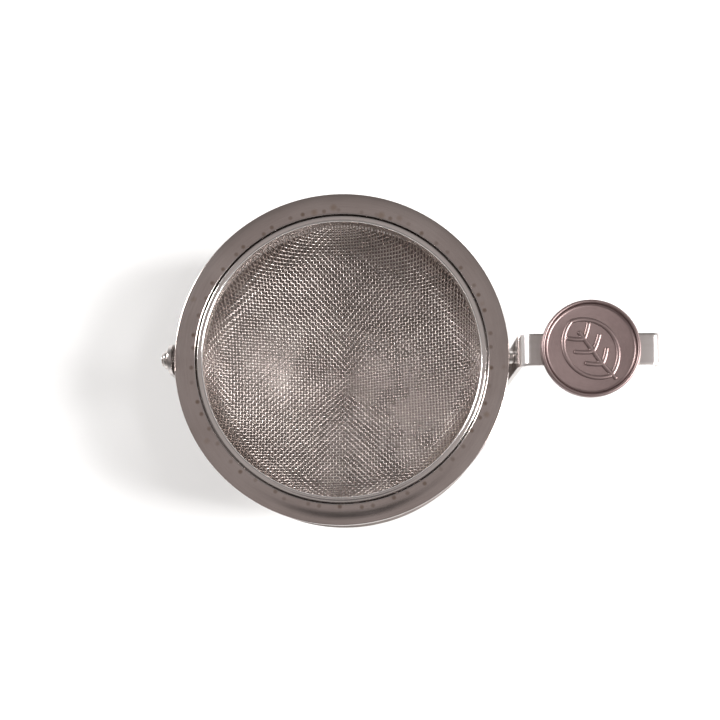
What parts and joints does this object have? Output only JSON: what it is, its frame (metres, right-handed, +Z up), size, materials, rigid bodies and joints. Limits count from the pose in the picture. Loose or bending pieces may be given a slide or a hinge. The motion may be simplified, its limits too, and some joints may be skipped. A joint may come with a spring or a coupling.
{
  "type": "tea infuser",
  "caption": "Swivelling tea infuser: a steel mesh basket with a flat rim swings on two pins between the arms of a drip bowl, with a strap handle and thumb disc.",
  "frame": {"origin": "centre of the drip bowl's flat base, on the table", "axes": "+Z up; +X along the handle; the swivel axis runs along X above the origin"},
  "size_m": [0.0967, 0.0664, 0.0437],
  "materials": {
    "rim_steel": "satin, warm grey",
    "polished_steel": "polished",
    "mesh_steel": "plain woven wire",
    "pin_steel": "turned",
    "bowl_steel": "polished",
    "strap_steel": "satin",
    "disc_steel": "dark satin"
  },
  "bodies": {
    "stand": {"drip_bowl": "bowl_steel", "left_arm": "strap_steel", "handle_strap": "strap_steel", "thumb_disc": "disc_steel"},
    "basket": {"rim_face_ring": "rim_steel", "rim_back_ring": "rim_steel", "rim_edge_band": "rim_steel", "collar_ring": "polished_steel", "mesh_bowl": "mesh_steel", "neck_band": "polished_steel", "left_pin_block": "pin_steel", "right_pin_block": "pin_steel", "left_pivot_pin": "pin_steel", "right_pivot_pin": "pin_steel", "left_washer": "pin_steel", "left_collar_nut": "pin_steel", "right_spacer": "pin_steel"}
  },
  "joints": [
    {"name": "basket_swivel", "type": "hinge", "parent": "stand", "child": "basket", "pos_m": [0, 0, 0.035], "axis": [1, 0, 0], "continuous": true}
  ]
}
